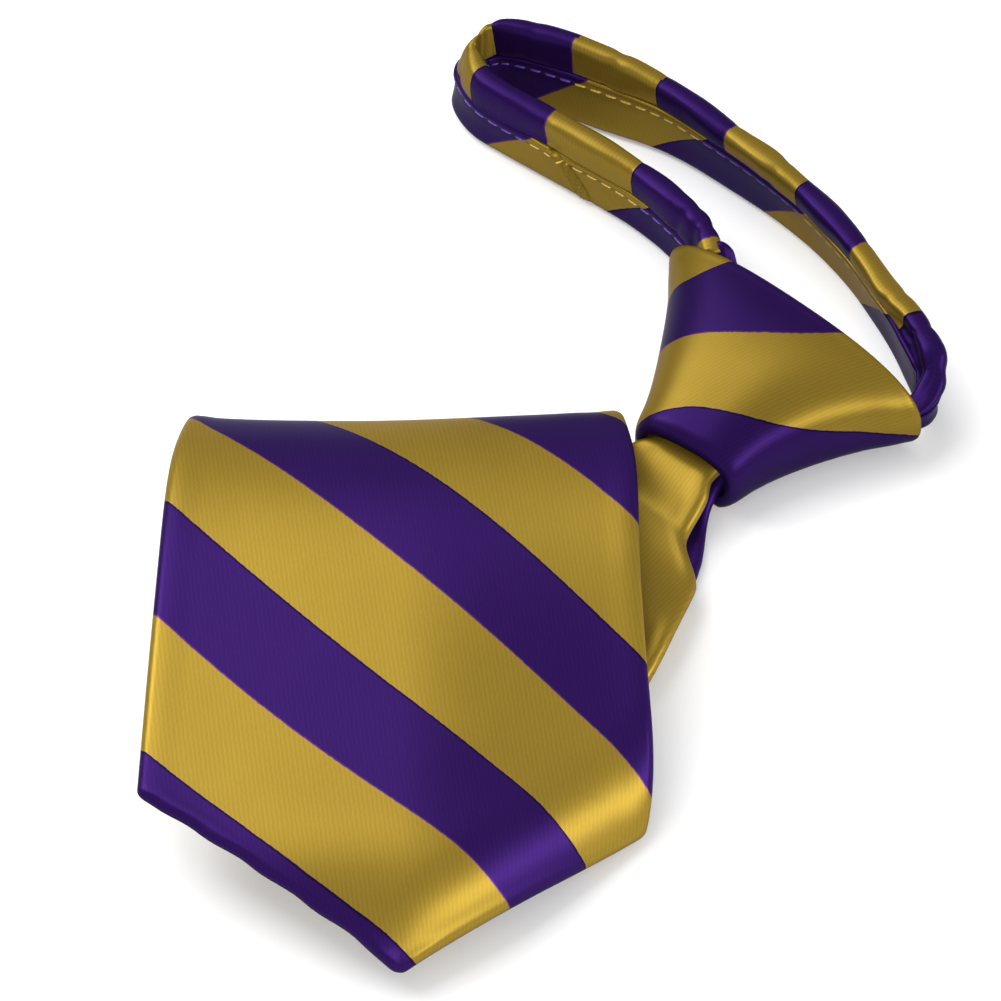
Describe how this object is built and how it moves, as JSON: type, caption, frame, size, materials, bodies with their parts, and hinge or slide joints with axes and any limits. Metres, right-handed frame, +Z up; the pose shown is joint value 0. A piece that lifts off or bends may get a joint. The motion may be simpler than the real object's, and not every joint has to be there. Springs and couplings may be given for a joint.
{
  "type": "zipper tie",
  "caption": "Pre-tied zipper tie in diagonally striped satin, with its neck loop closed, a tapered knot and a folded, pointed front blade.",
  "frame": {"origin": "on the surface the tie lies on, under the middle of its overall box", "axes": "+Z up, out of the surface; the wide face of the blade faces +Z and its point runs towards -Y; the neck loop lies towards +Y and +X"},
  "size_m": [0.121, 0.1838, 0.019],
  "materials": {
    "blade_cloth": "satin twill in gold and purple diagonal stripes",
    "knot_cloth": "satin twill in purple and gold diagonal stripes",
    "band_cloth": "satin twill in purple and gold stripes with a topstitch",
    "tail_cloth": "satin twill",
    "zipper_tape": "woven tape with a closed coil"
  },
  "bodies": {
    "root": {"front_blade": "blade_cloth", "knot_wrap": "knot_cloth", "knot_core": "knot_cloth", "neck_band_casing": "band_cloth", "neck_band_roll": "band_cloth", "tail": "tail_cloth", "zipper": "zipper_tape"}
  },
  "joints": []
}
